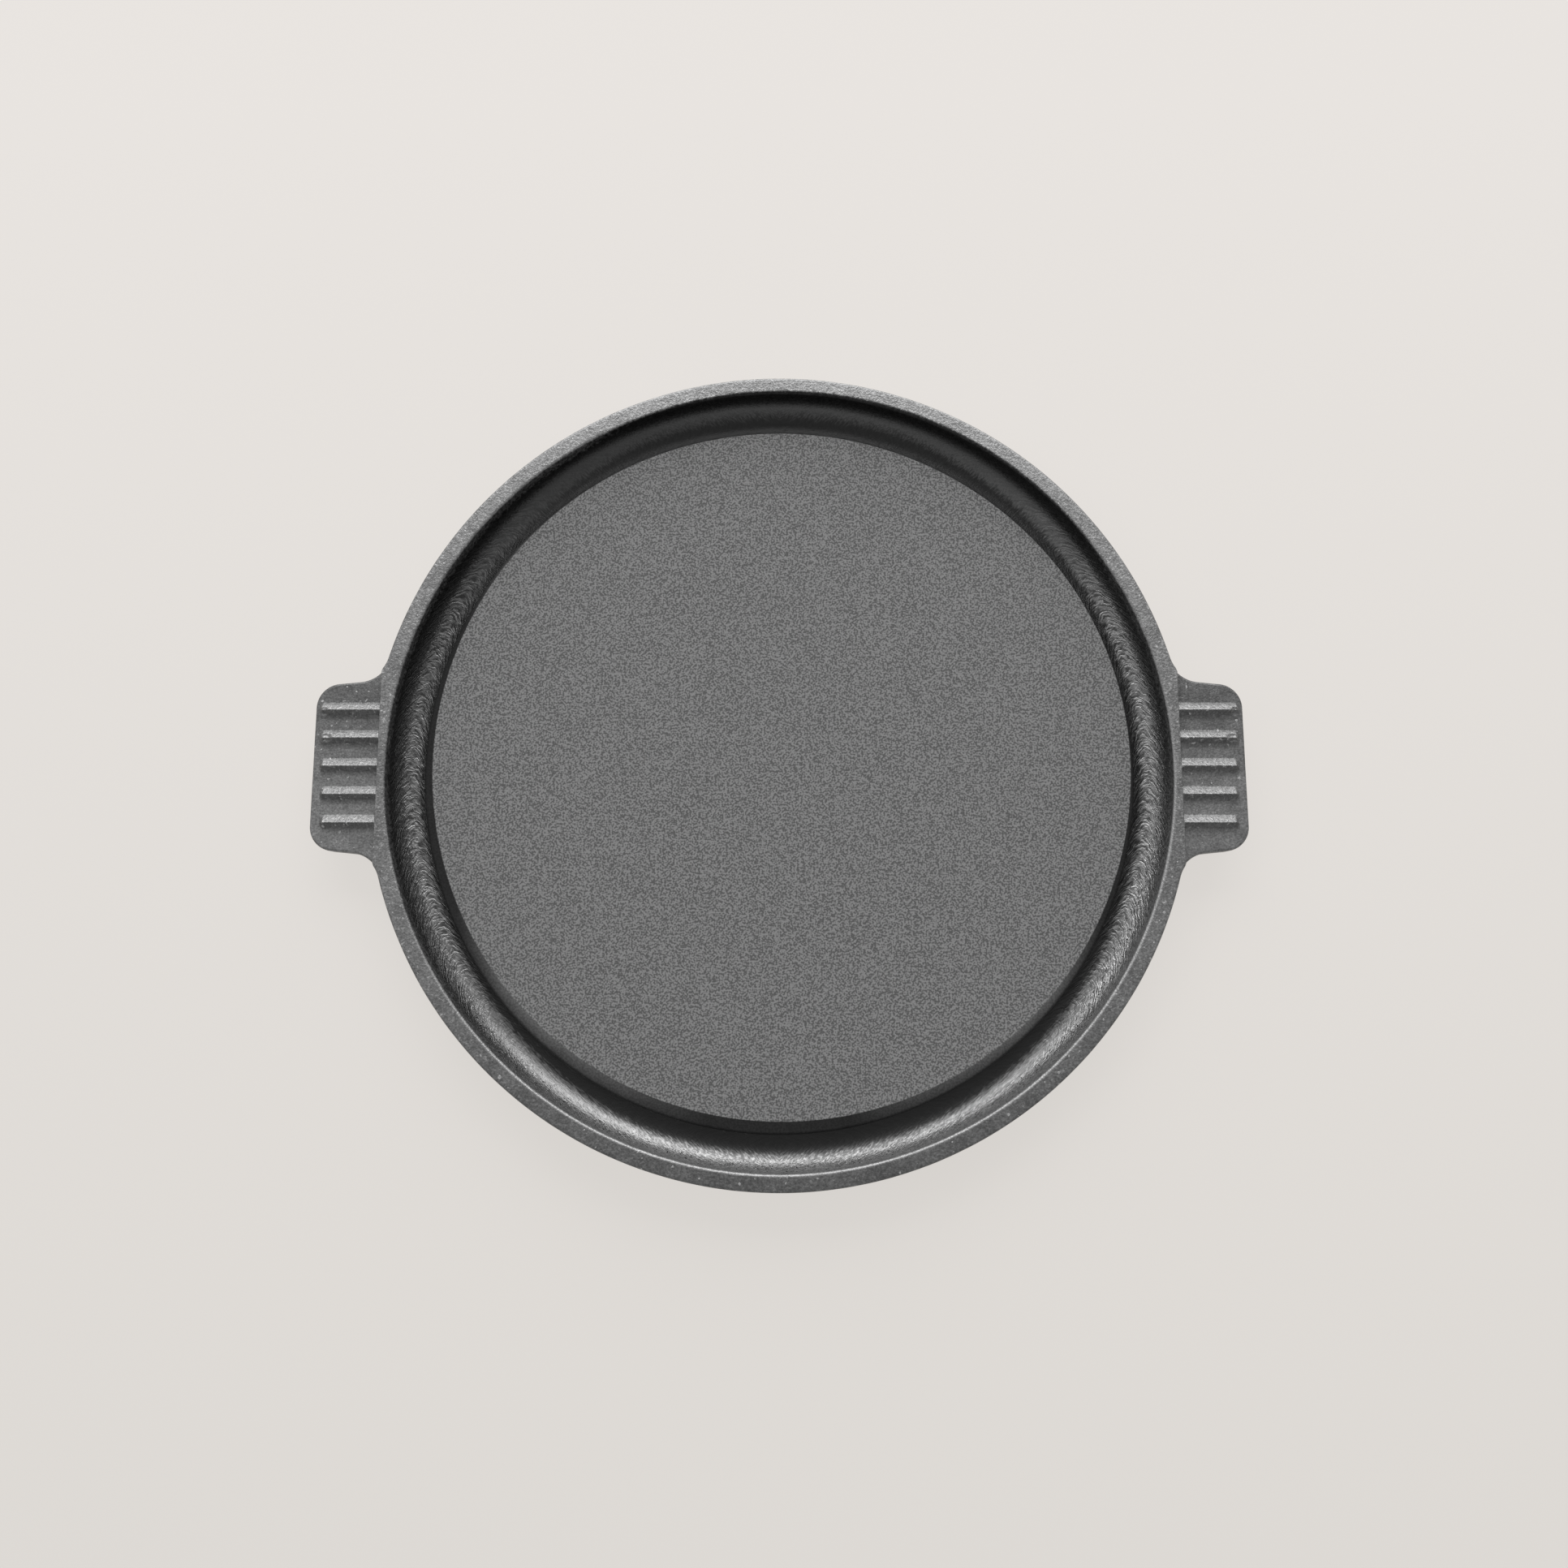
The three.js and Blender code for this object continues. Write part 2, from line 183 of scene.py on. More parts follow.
# Zones of the casting
BORDER_LEVEL = (0.3, 0.7, -0.2 * MM, 0.2 * MM)
# Painted shade: the gutter's black reaches over the rim's inner edge on the side away from the light
EDGE_SHADE_TURN = (0.7, 1.0, 0.0, 1.2 * MM)
GUTTER_RADIUS = (INNER_RADIUS + 0.3 * MM, INNER_RADIUS - 0.3 * MM)
GUTTER_HEIGHT = (GUTTER_Z - 1.5 * MM, GUTTER_Z - 0.5 * MM)
UNDER_HEIGHT = (GUTTER_Z - 0.5 * MM, UNDERSIDE_Z + 1.0 * MM)
RAISED_HEIGHT = (GRIP_Z + 0.3 * MM, RIM_Z - 0.6 * MM)
# Painted highlight: a light line on the rounding of the rim's inner edge, where it faces the light
EDGE_HIGHLIGHT_RADIUS = (INNER_RADIUS + 1.2 * MM, INNER_RADIUS + 0.36 * MM)
EDGE_HIGHLIGHT_HEIGHT = (RIM_Z - 1.2 * MM, RIM_Z - 0.5 * MM)
EDGE_HIGHLIGHT_TURN = (0.0, 0.5)
TAB_DISTANCE = (STEP_X, STEP_X + 0.2 * MM)
CREST_HEIGHT = (GRIP_Z + 0.25 * MM, GRIP_Z + 0.8 * MM)

# Bands of the gutter, from the cooking face outwards: a foot that carries painted shade, the
# polished bed and the wall. Their borders shift along X, from side to side and with the brush
# strokes.
BAND_X = (-110 * MM, 110 * MM, 0.9 * MM, -0.5 * MM)
BAND_LEVEL = (0.3, 0.7, -0.9 * MM, 0.9 * MM)
FOOT_DISTANCE = (50 * MM, 125 * MM, 3.6 * MM, -1.0 * MM)
FOOT_RADIUS = (COVE_START_RADIUS + 2.0 * MM, COVE_START_RADIUS - 0.5 * MM)
WALL_SHIFT_TURN = (-0.9, 0.9, -1.3 * MM, 0.5 * MM)
WALL_FOOT_DISTANCE = (70 * MM, 130 * MM, GUTTER_Z + 2.0 * MM, GUTTER_Z + 0.8 * MM)
WALL_HEAD_DISTANCE = (70 * MM, 130 * MM, GUTTER_Z + 5.0 * MM, GUTTER_Z + 2.0 * MM)
PIT_LEVEL = (0.38, 0.3)
# Painted glints on the gutter's wall where it faces the light
GLINT_LEVEL = (0.66, 0.72)
GLINT_TURN = (0.1, 0.5)

# Grey of the rim, the handles and the outer wall, with painted light towards +Y and painted
# shade towards -Y, handles darker towards +Y, painted light and shade on the ridges' flanks and
# light specks that are painted glints; and grey of the painted highlight line and of the underside
SKIN_GREYS = (0.18, 0.22)
SKIN_LEVEL = (0.35, 0.65)
SKIN_NORTH_LIGHT_Y = (20 * MM, 140 * MM, 1.0, 1.3)
SKIN_SOUTH_SHADE_Y = (-140 * MM, -60 * MM, 0.7, 1.0)
TAB_Y = (-8 * MM, 28 * MM, 1.0, 0.66)
FLANK_LIGHT_AND_SHADE_Y = (-0.1 * MM, 0.1 * MM, 0.13, 0.23)
GRIT_LEVEL = (0.3, 0.7, 0.75, 1.25)
PEEL_LEVEL = (0.35, 0.65, 0.87, 1.15)
SPECK_LEVEL = (0.62, 0.7)
SPECK_DISTANCE = (90 * MM, 130 * MM, 0.2, 1.0)
SPECK_GLINT_GREY = 0.4
EDGE_HIGHLIGHT_GREY = 0.36
UNDER_GREY = 0.07

# Black of the gutter's bed, with painted shade on its foot, away from the light and at its -Y end,
# painted light towards one side and at its +X end, and its ripples; and of its wall, with its pits,
# painted shade away from the light, and painted light and glints where it faces the light
BED_GREYS = (0.15, 0.18)
STROKE_LEVEL = (0.35, 0.65)
BED_SHADE_TURN = (-0.95, -0.2, 0.55, 1.0)
BED_SOUTH_SHADE_Y = (-135 * MM, -100 * MM, 0.78, 1.0)
BED_LIGHT_TURN = (0.75, 1.0, 1.0, 1.25)
BED_EAST_LIGHT_X = (115 * MM, 135 * MM, 1.0, 1.25)
FOOT_SHADE_GREY = 0.045
RIPPLE_LEVEL = (0.36, 0.64)
RIPPLE_DARK_DISTANCE = (90 * MM, 125 * MM, 0.92, 0.45)
RIPPLE_LIGHT_DISTANCE = (90 * MM, 125 * MM, 1.08, 1.7)
WALL_SHADE_TURN = (-0.8, 0.3, 0.035, 0.1)
PAINTED_LIGHT_WALL_TURN = (0.3, 0.8)
PAINTED_LIGHT_WALL_GREY = 0.35
WALL_PEEL_LEVEL = (0.35, 0.65, 0.75, 1.3)
GLINT_GREY = 0.5
PIT_GREY = 0.04

# Roughness and metal of the casting
ROUGH_LEVEL = (0.3, 0.7, 0.46, 0.54)
CREST_ROUGHNESS = 0.48
GUTTER_ROUGH_HEIGHT = (GUTTER_Z + 4.0 * MM, GUTTER_Z + 7.0 * MM, 0.42, 0.56)
UNDER_ROUGHNESS = 0.7
SKIN_METAL = 0.65
CREST_METAL = 0.8
GUTTER_METAL = 1.0

# Fine relief of the casting: how much each pattern counts, and how deep it all is
PEEL_WEIGHT = 0.9
RAISED_SHARE = (0.0, 1.0, 0.8, 1.35)
STROKE_WEIGHT = 0.7
RIPPLE_WEIGHT_DISTANCE = (90 * MM, 125 * MM, 0.3, 2.5)
RELIEF_DEPTH = 0.16 * MM
RELIEF_STRENGTH = 0.8

# Matt grain on the cooking face. It is a disc set a little towards +Y, as in the photo, so that
# a crescent of plain iron shows on the -Y side.
GRAIN_CENTRE = (0.8 * MM, 2.6 * MM, 0.0)
GRAIN_REACH = 129.6 * MM
GRAIN_BORDER_RADIUS = (GRAIN_REACH + 0.15 * MM, GRAIN_REACH - 0.15 * MM)
GRAIN_SIZE = 0.65 * MM
GRAIN_LEVEL = (0.36, 0.64)
GRAIN_GREYS = (0.1, 0.238)
GRAIN_ROUGHNESS = 0.95
GRAIN_DEPTH = 0.05 * MM
GRAIN_STRENGTH = 0.4
FACE_SPECULAR = 0.15

# The plain crescent, which is lighter to the left and right of its middle than there or at its ends
CRESCENT_GREY = 0.018
CRESCENT_RISE_DISTANCE = (25 * MM, 88 * MM, 0.0, 0.09)
CRESCENT_FALL_DISTANCE = (100 * MM, 118 * MM, 0.09, 0.0)
CRESCENT_EDGE_RADIUS = (FACE_RADIUS - 4.0 * MM, FACE_RADIUS - 0.5 * MM, 1.0, 0.3)
CLOUD_SIZE = 20 * MM
CLOUD_LEVEL = (0.3, 0.7, 0.85, 1.15)
CRESCENT_GRAIN_LEVEL = (0.3, 0.7, 0.8, 1.2)
CRESCENT_ROUGHNESS = 0.75

# Pale floor, a little brighter towards +Y. It shows its own colour to the eye for the most part,
# so that its tone stays even, and keeps the plate's shadow for the rest.
FLOOR_SIZE = 12
FLOOR_NEAR = (0.739, 0.710, 0.676, 1.0)
FLOOR_FAR = (0.801, 0.768, 0.738, 1.0)
FLOOR_Y = (-0.28, 0.28)
FLOOR_OWN_LIGHT = 0.85

# Lights: azimuth from +Y towards -X, elevation, size and watts
LIGHT_DISTANCE = 2.5
SOFTBOXES = {
    "key_light": (math.radians(0.5), math.radians(30), (3.0, 2.0), 80.0),
    "side_light": (math.radians(85), math.radians(42), (1.0, 0.9), 4.0),
    "fill_light": (math.radians(180), math.radians(12), (1.8, 1.0), 3.0),
}
SKY_STRENGTH = 0.42

# Camera, fitted to the rim, the cooking face and the handle tips in the photo
CAMERA_ELEVATION = math.radians(82)
CAMERA_DISTANCE = 0.42
CAMERA_TARGET = Vector((1.7 * MM, -6.8 * MM, RIM_Z))
FRAME_WIDTH = 0.5695
SENSOR = 36.0
CLIP_START = 0.01


# Value noise on a lattice of random numbers, from 0 to 1, smooth between lattice points
def noise(points, size, seed):
    lattice = np.random.default_rng(SEED + seed).random((LATTICE, LATTICE, LATTICE))
    scaled = points / size
    cell = np.floor(scaled).astype(int)
    part = scaled - cell
    part = part * part * (3 - 2 * part)
    total = np.zeros(len(points))
    for corner in np.ndindex(2, 2, 2):
        weight = np.ones(len(points))
        index = []
        for axis, step in enumerate(corner):
            weight *= part[:, axis] if step else 1 - part[:, axis]
            index.append((cell[:, axis] + step) % LATTICE)
        total += weight * lattice[tuple(index)]
    return total


# A mesh object with smooth shading and its origin at the frame's origin
def make_piece(name, vertices, faces):
    mesh = bpy.data.meshes.new(name)
    mesh.from_pydata(vertices.tolist(), [], faces)
    mesh.validate()
    mesh.shade_smooth()
    mesh.update()
    piece = bpy.data.objects.new(name, mesh)
    bpy.context.scene.collection.objects.link(piece)
    return piece


# Takes the swells and hollows of the cast skin off a piece, along its own normals
def weather(piece, seed):
    mesh = piece.data
    count = len(mesh.vertices)
    points = np.empty(count * 3)
    normals = np.empty(count * 3)
    mesh.vertices.foreach_get("co", points)
    mesh.vertices.foreach_get("normal", normals)
    points = points.reshape(-1, 3)
    normals = normals.reshape(-1, 3)
    amount = (1 - SMALL_SWELL_SHARE) * noise(points, SWELL_SIZE, seed)
    amount += SMALL_SWELL_SHARE * noise(points, SMALL_SWELL_SIZE, seed + 1)
    mesh.vertices.foreach_set("co", (points - normals * (SWELL_DEPTH * amount)[:, None]).ravel())
    mesh.update()


# Points on an arc in the (radius, height) plane, both ends included
def arc(centre_r, centre_z, radius, start, end, steps):
    turn = np.linspace(start, end, steps + 1)
    return [(centre_r + radius * math.cos(a), centre_z + radius * math.sin(a)) for a in turn]


# Points on a straight line, without its last end
def line(start, end, steps):
    share = np.arange(steps) / steps
    return [tuple(np.add(np.multiply(start, 1 - s), np.multiply(end, s))) for s in share]


# A closed skin turned about Z. Each row is a radius and a height, as numbers or as arrays with
# one value for each angle, and the first and last rows are closed by a face.
def turned(name, rows):
    angles = turn_angles()
    vertices = np.concatenate([
        np.c_[radius * np.cos(angles), radius * np.sin(angles), np.broadcast_to(z, TURN_STEPS)]
        for radius, z in rows
    ])
    faces = []
    for row in range(len(rows) - 1):
        near, far = row * TURN_STEPS, (row + 1) * TURN_STEPS
        for i in range(TURN_STEPS):
            j = (i + 1) % TURN_STEPS
            faces.append((near + i, near + j, far + j, far + i))
    last = (len(rows) - 1) * TURN_STEPS
    faces.append(tuple(range(TURN_STEPS - 1, -1, -1)))
    faces.append(tuple(range(last, last + TURN_STEPS)))
    return make_piece(name, vertices, faces)


def turn_angles():
    return np.arange(TURN_STEPS) * 2 * math.pi / TURN_STEPS


# Plan of a handle's +Y side: centres of the root fillet and of the rounded tip corner
def handle_outline():
    sin, cos = math.sin(HANDLE_TAPER), math.cos(HANDLE_TAPER)
    offset = TIP_X * sin + TIP_HALF_WIDTH * cos
    fillet_offset = offset + ROOT_FILLET_RADIUS
    along = math.sqrt((OUTER_RADIUS + ROOT_FILLET_RADIUS) ** 2 - fillet_offset ** 2)
    fillet = (fillet_offset * sin + along * cos, fillet_offset * cos - along * sin)
    corner = (
        TIP_X - HANDLE_CORNER_RADIUS,
        TIP_HALF_WIDTH - HANDLE_CORNER_RADIUS * (1 - sin) / cos,
    )
    return fillet, corner


FILLET, CORNER = handle_outline()
FILLET_END_X = FILLET[0] - ROOT_FILLET_RADIUS * math.sin(HANDLE_TAPER)
CORNER_START_X = CORNER[0] + HANDLE_CORNER_RADIUS * math.sin(HANDLE_TAPER)
TANGENT_ANGLE = math.atan2(FILLET[1], FILLET[0])


# Half the handle's width at each x
def half_width(x):
    fillet = FILLET[1] - np.sqrt(np.maximum(0, ROOT_FILLET_RADIUS ** 2 - (x - FILLET[0]) ** 2))
    side = TIP_HALF_WIDTH + (TIP_X - x) * math.tan(HANDLE_TAPER)
    corner = CORNER[1] + np.sqrt(np.maximum(0, HANDLE_CORNER_RADIUS ** 2 - (x - CORNER[0]) ** 2))
    return np.where(x < FILLET_END_X, fillet, np.where(x < CORNER_START_X, side, corner))


# Distance from a point of the handle's plan to its outline, measured inwards
def inset(x, y):
    across = np.abs(y)
    side_y = TIP_HALF_WIDTH + (TIP_X - x) * math.tan(HANDLE_TAPER)
    to_side = (side_y - across) * math.cos(HANDLE_TAPER)
    to_fillet = np.hypot(x - FILLET[0], across - FILLET[1]) - ROOT_FILLET_RADIUS
    to_side = np.where(x < FILLET_END_X, to_fillet, to_side)
    from_corner = np.hypot(x - CORNER[0], across - CORNER[1])
    past = across - CORNER[1]
    in_corner = (past > 0) & (x - CORNER[0] > past * math.tan(HANDLE_TAPER))
    rounded = np.where(in_corner, HANDLE_CORNER_RADIUS - from_corner, np.inf)
    return np.maximum(0, np.minimum(np.minimum(TIP_X - x, to_side), rounded))


# How far a rounded edge lowers the surface at this distance from the outline
def edge_drop(distance, radius):
    run = np.clip(radius - distance, 0, radius)
    return radius - np.sqrt(radius ** 2 - run ** 2)


# Outside of the rim in the plan at each angle, and whether it is the flat step by a handle
def rim_reach(angles):
    folded = np.arctan2(np.abs(np.sin(angles)), np.abs(np.cos(angles)))
    corner_angle = math.atan2(float(half_width(np.array(STEP_X))), STEP_X)
    step = STEP_X / np.cos(np.minimum(folded, corner_angle))
    along = FILLET[0] * np.cos(folded) + FILLET[1] * np.sin(folded)
    gap = FILLET[0] ** 2 + FILLET[1] ** 2 - ROOT_FILLET_RADIUS ** 2
    fillet = along - np.sqrt(np.maximum(0, along ** 2 - gap))
    stepped = folded < corner_angle
    return np.where(folded > TANGENT_ANGLE, OUTER_RADIUS, np.where(stepped, step, fillet)), stepped


# Underside of the casting, from the middle out to the foot of its outer wall
def underside_section():
    recess_radius = RING_RADIUS - RING_WIDTH
    recess_z = UNDERSIDE_Z + RECESS_DEPTH
    slope_radius = recess_radius - RECESS_DEPTH
    corner_radius = OUTER_RADIUS - (RIM_Z - UNDERSIDE_Z) * math.tan(WALL_DRAFT) - BOTTOM_CORNER_RADIUS
    corner_z = UNDERSIDE_Z + BOTTOM_CORNER_RADIUS
    inner_r, outer_r = recess_radius + RING_EDGE, RING_RADIUS - RING_EDGE
    down = -0.5 * math.pi
    return [
        *line((HUB_RADIUS, recess_z), (slope_radius, recess_z), RECESS_STEPS),
        *line((slope_radius, recess_z), (recess_radius, UNDERSIDE_Z), SLOPE_STEPS),
        (recess_radius, UNDERSIDE_Z),
        *arc(inner_r, RING_EDGE, RING_EDGE, math.pi, 1.5 * math.pi, RING_EDGE_STEPS),
        *arc(outer_r, RING_EDGE, RING_EDGE, down, 0, RING_EDGE_STEPS),
        *line((RING_RADIUS, UNDERSIDE_Z), (corner_radius, UNDERSIDE_Z), UNDERSIDE_STEPS),
        *arc(corner_radius, corner_z, BOTTOM_CORNER_RADIUS, down, 0, BOTTOM_CORNER_STEPS),
    ]


# Outer wall, as (height, flare). Flare 0 follows the round plate and 1 the rim's plan, which
# widens where a handle grows out of it.
def wall_section():
    turn = np.linspace(0, math.pi / 2, FLARE_ROWS)
    foot = [(GUTTER_Z + EDGE_RADIUS * (1 - math.cos(a)), math.sin(a)) for a in turn]
    upright = np.linspace(GUTTER_Z + EDGE_RADIUS, RIM_Z - EDGE_RADIUS, OUTER_WALL_ROWS)[1:-1]
    return [*foot, *((z, 1.0) for z in upright)]


# Inner side of the section, from the rim's flat top to the middle
def gutter_section():
    edge_r, edge_z = INNER_RADIUS + EDGE_RADIUS, RIM_Z - EDGE_RADIUS
    inner_edge = arc(edge_r, edge_z, EDGE_RADIUS, 0.5 * math.pi, math.pi, INNER_EDGE_STEPS)
    rise = math.asin(GUTTER_INNER_RUN / COVE_RADIUS)
    cove_z = GUTTER_Z + COVE_RADIUS
    cove = arc(COVE_START_RADIUS, cove_z, COVE_RADIUS, 0, -0.5 * math.pi - rise, COVE_STEPS)
    wall = line(inner_edge[-1], cove[0], UPPER_WALL_STEPS)[1:]
    seat_z = cove[-1][1]
    seat = line((FACE_RADIUS - EDGE_RADIUS, seat_z), (HUB_RADIUS, seat_z), SEAT_STEPS)
    return [*inner_edge, *wall, *cove, *seat, (HUB_RADIUS, seat_z)]


# The whole casting: floor, heat ring, gutter and rim, as one closed skin
def plate_casting():
    reach, stepped = rim_reach(turn_angles())
    edge = np.where(stepped, STEP_EDGE_RADIUS, EDGE_RADIUS)
    draft = np.where(stepped, 0.0, math.tan(WALL_DRAFT))
    rows = underside_section()
    for z, flare in wall_section():
        radius = OUTER_RADIUS - (RIM_Z - z) * math.tan(WALL_DRAFT)
        plan = reach - (RIM_Z - z) * draft
        rows.append((radius + (plan - radius) * flare, z))
    for a in np.linspace(0, math.pi / 2, OUTER_EDGE_ROWS):
        rows.append((reach - edge * (1 - math.cos(a)), RIM_Z - edge * (1 - math.sin(a))))
    for share in RIM_TOP_SHARES:
        rows.append(((reach - edge) * (1 - share) + (INNER_RADIUS + EDGE_RADIUS) * share, RIM_Z))
    return turned("plate_casting", [*rows, *gutter_section()])


# Raised cooking face with its rounded edge, seated in the casting
def cooking_face():
    edge_r, edge_z = FACE_RADIUS - FACE_EDGE_RADIUS, FACE_Z - FACE_EDGE_RADIUS
    edge = arc(edge_r, edge_z, FACE_EDGE_RADIUS, 0, 0.5 * math.pi, FACE_EDGE_STEPS)
    top = line(edge[-1], (HUB_RADIUS, FACE_Z), FACE_STEPS)[1:]
    seat_z = GUTTER_Z - SUNK
    rows = [(HUB_RADIUS, seat_z), (FACE_RADIUS, seat_z), *edge, *top, (HUB_RADIUS, FACE_Z)]
    return turned("cooking_face", rows)


# Height of the grip ridges over the sunken grip. Their flanks are straight like a roof's, with a
# crisp foot at the +Y side and a hollow one at the -Y side.
def ridge_height(x, y):
    half = RIDGE_WIDTH / 2
    nearest = np.clip(np.round(y / RIDGE_PITCH), -(RIDGE_COUNT // 2), RIDGE_COUNT // 2)
    across = y - nearest * RIDGE_PITCH
    end_x = TIP_X - RIDGE_END_GAP + RIDGE_END_DRIFT * nearest - RIDGE_END_RUN
    along = np.maximum(0, x - end_x) * half / RIDGE_END_RUN
    away = np.hypot(along, across)
    crown = RIDGE_HEIGHT * (1 - away / half)
    crispness = (1 + across / np.maximum(away, RIDGE_BLEND)) / 2
    foot = RIDGE_HOLLOW_FOOT + (RIDGE_CRISP_FOOT - RIDGE_HOLLOW_FOOT) * crispness
    overlap = np.maximum(0, foot - np.abs(crown))
    return np.maximum(crown, 0) + overlap ** 2 / (4 * foot)


# Depth of the small dents near the tip
def dent_depth(x, y):
    total = np.zeros_like(x)
    for from_tip, place_y, length, width in DENTS:
        off_x = (x - TIP_X + from_tip) / length
        off_y = (y - place_y) / width
        total += DENT_DEPTH * np.exp(-(off_x ** 2 + off_y ** 2) ** 2)
    return total


# Height of a handle's underside: level over the plate, then sweeping up to the tip
def underside(x):
    share = np.clip((x - OUTER_RADIUS) / (TIP_X - OUTER_RADIUS), 0, 1)
    return GUTTER_Z + (GRIP_Z - TIP_THICKNESS - GUTTER_Z) * np.sin(share * math.pi / 2)


# Plan of a handle as a grid of points, from its root in the rim to its tip. Its steps get shorter
# towards the tip and the sides.
def handle_plan():
    turn = np.linspace(0, math.pi / 2, STATION_STEPS)
    stations = STEP_X - SUNK + (TIP_X - STEP_X + SUNK) * np.sin(turn)
    even = np.linspace(-1, 1, ACROSS_STEPS)
    across = EDGE_CROWDING * np.sin(even * math.pi / 2) + (1 - EDGE_CROWDING) * even
    x = np.repeat(stations[:, None], ACROSS_STEPS, axis=1)
    return x, half_width(x) * across[None, :]


# Points of a handle's top, with ridges, dents and rounded edges, and of its swept underside
def handle_skins(sign):
    x, y = handle_plan()
    distance = inset(x, y)
    distance[:, 0] = 0
    distance[:, -1] = 0
    distance[-1, :] = 0
    drop = edge_drop(distance, EDGE_RADIUS)
    top = GRIP_Z + ridge_height(x, y * sign) - dent_depth(x, y * sign) - drop
    bottom = underside(x) + drop
    return [np.c_[x.ravel(), y.ravel(), z.ravel()] for z in (top, bottom)]


# Faces of the top and, turned over, of the underside, whose points follow the top's
def skin_faces(index):
    size = index.size
    faces = []
    for i in range(STATION_STEPS - 1):
        for j in range(ACROSS_STEPS - 1):
            a, b = int(index[i, j]), int(index[i + 1, j])
            c, d = int(index[i + 1, j + 1]), int(index[i, j + 1])
            faces.append((a, b, c, d))
            faces.append((d + size, c + size, b + size, a + size))
    return faces


# Points and faces of the upright side between the outlines of a handle's top and underside
def side_band(top, bottom, index):
    outline = np.array([*index[:, 0], *index[-1, 1:], *index[-2::-1, -1], *index[0, -2:0:-1]])
    around = len(outline)
    rows, points, faces = [outline], [], []
    for row in range(1, SIDE_ROWS):
        share = row / SIDE_ROWS
        rows.append(2 * index.size + (row - 1) * around + np.arange(around))
        points.append(top[outline] * (1 - share) + bottom[outline] * share)
    rows.append(outline + index.size)
    for upper, lower in zip(rows, rows[1:]):
        for i in range(around):
            j = (i + 1) % around
            faces.append((int(upper[i]), int(lower[i]), int(lower[j]), int(upper[j])))
    return points, faces


# Tab handle on the side that sign gives
def handle(name, sign):
    top, bottom = handle_skins(sign)
    index = np.arange(len(top)).reshape(STATION_STEPS, ACROSS_STEPS)
    side_points, side_faces = side_band(top, bottom, index)
    points = np.concatenate([top, bottom, *side_points]) * (sign, sign, 1)
    return make_piece(name, points, skin_faces(index) + side_faces)


# A shader node with its inputs set, linked where the value is another node's output
def node(tree, kind, inputs=None, **settings):
    made = tree.nodes.new(kind)
    for key, value in settings.items():
        setattr(made, key, value)
    for key, value in (inputs or {}).items():
        if isinstance(value, bpy.types.NodeSocket):
            tree.links.new(value, made.inputs[key])
        else:
            made.inputs[key].default_value = value
    return made


def math_node(tree, operation, first, second=0.0, third=0.0):
    inputs = {0: first, 1: second, 2: third}
    return node(tree, "ShaderNodeMath", inputs, operation=operation).outputs[0]


def product(tree, first, *others):
    for other in others:
        first = math_node(tree, "MULTIPLY", first, other)
    return first


def summed(tree, first, *others):
    for other in others:
        first = math_node(tree, "ADD", first, other)
    return first


def vector_node(tree, operation, first, second=(0, 0, 0)):
    return node(tree, "ShaderNodeVectorMath", {0: first, 1: second}, operation=operation).outputs[0]


# A colour made lighter or darker by each factor in turn
def toned(tree, colour, *factors):
    for factor in factors:
        colour = vector_node(tree, "MULTIPLY", colour, factor)
    return colour


# Distance from the Z axis
def axis_distance(tree, vector):
    inputs = {0: vector_node(tree, "MULTIPLY", vector, (1, 1, 0))}
    return node(tree, "ShaderNodeVectorMath", inputs, operation="LENGTH").outputs["Value"]


# Cosine, or nearly, of the turn between a point and a side of the plate, seen from above
def side_turn(tree, point, radius, side):
    inputs = {0: point, 1: side}
    reach = node(tree, "ShaderNodeVectorMath", inputs, operation="DOT_PRODUCT").outputs["Value"]
    return math_node(tree, "DIVIDE", reach, radius)


# Maps one range of numbers to another
def remap(tree, value, low, high, out_low=0.0, out_high=1.0):
    inputs = {"Value": value, "From Min": low, "From Max": high, "To Min": out_low, "To Max": out_high}
    return node(tree, "ShaderNodeMapRange", inputs).outputs[0]


def noise_node(tree, vector, size, detail=2.0, rough=0.5):
    inputs = {"Vector": vector, "Scale": 1 / size, "Detail": detail, "Roughness": rough}
    return node(tree, "ShaderNodeTexNoise", inputs).outputs["Fac"]


def grey(level):
    return (level, level, level, 1.0)


# Blends two colours or outputs of nodes. A plain number stands for that level of grey.
def mix(tree, factor, first, second):
    first, second = (grey(value) if isinstance(value, float) else value for value in (first, second))
    mixed = node(tree, "ShaderNodeMix", {0: factor, 6: first, 7: second}, data_type="RGBA")
    return mixed.outputs[2]


def new_material(name):
    material = bpy.data.materials.new(name)
    material.use_nodes = True
    tree = material.node_tree
    return material, tree, tree.nodes["Principled BSDF"]


def add_relief(tree, shader, height, depth, strength):
    inputs = {"Height": height, "Distance": depth, "Strength": strength}
    bump = node(tree, "ShaderNodeBump", inputs)
    tree.links.new(bump.outputs[0], shader.inputs["Normal"])


# Slanting strokes, mirrored left to right, that lean towards the middle at the top
def brush_strokes(tree, point):
    mirrored = vector_node(tree, "ABSOLUTE", vector_node(tree, "MULTIPLY", point, (1, 0, 0)))
    folded = vector_node(tree, "ADD", mirrored, vector_node(tree, "MULTIPLY", point, (0, 1, 1)))
    slant = {"Vector": folded, "Angle": STROKE_SLANT}
    slanted = node(tree, "ShaderNodeVectorRotate", slant, rotation_type="Z_AXIS").outputs[0]
    squeezed = vector_node(tree, "MULTIPLY", slanted, (STROKE_WIDTH / STROKE_LENGTH, 1, 1))
    return noise_node(tree, squeezed, STROKE_WIDTH, detail=1.0)


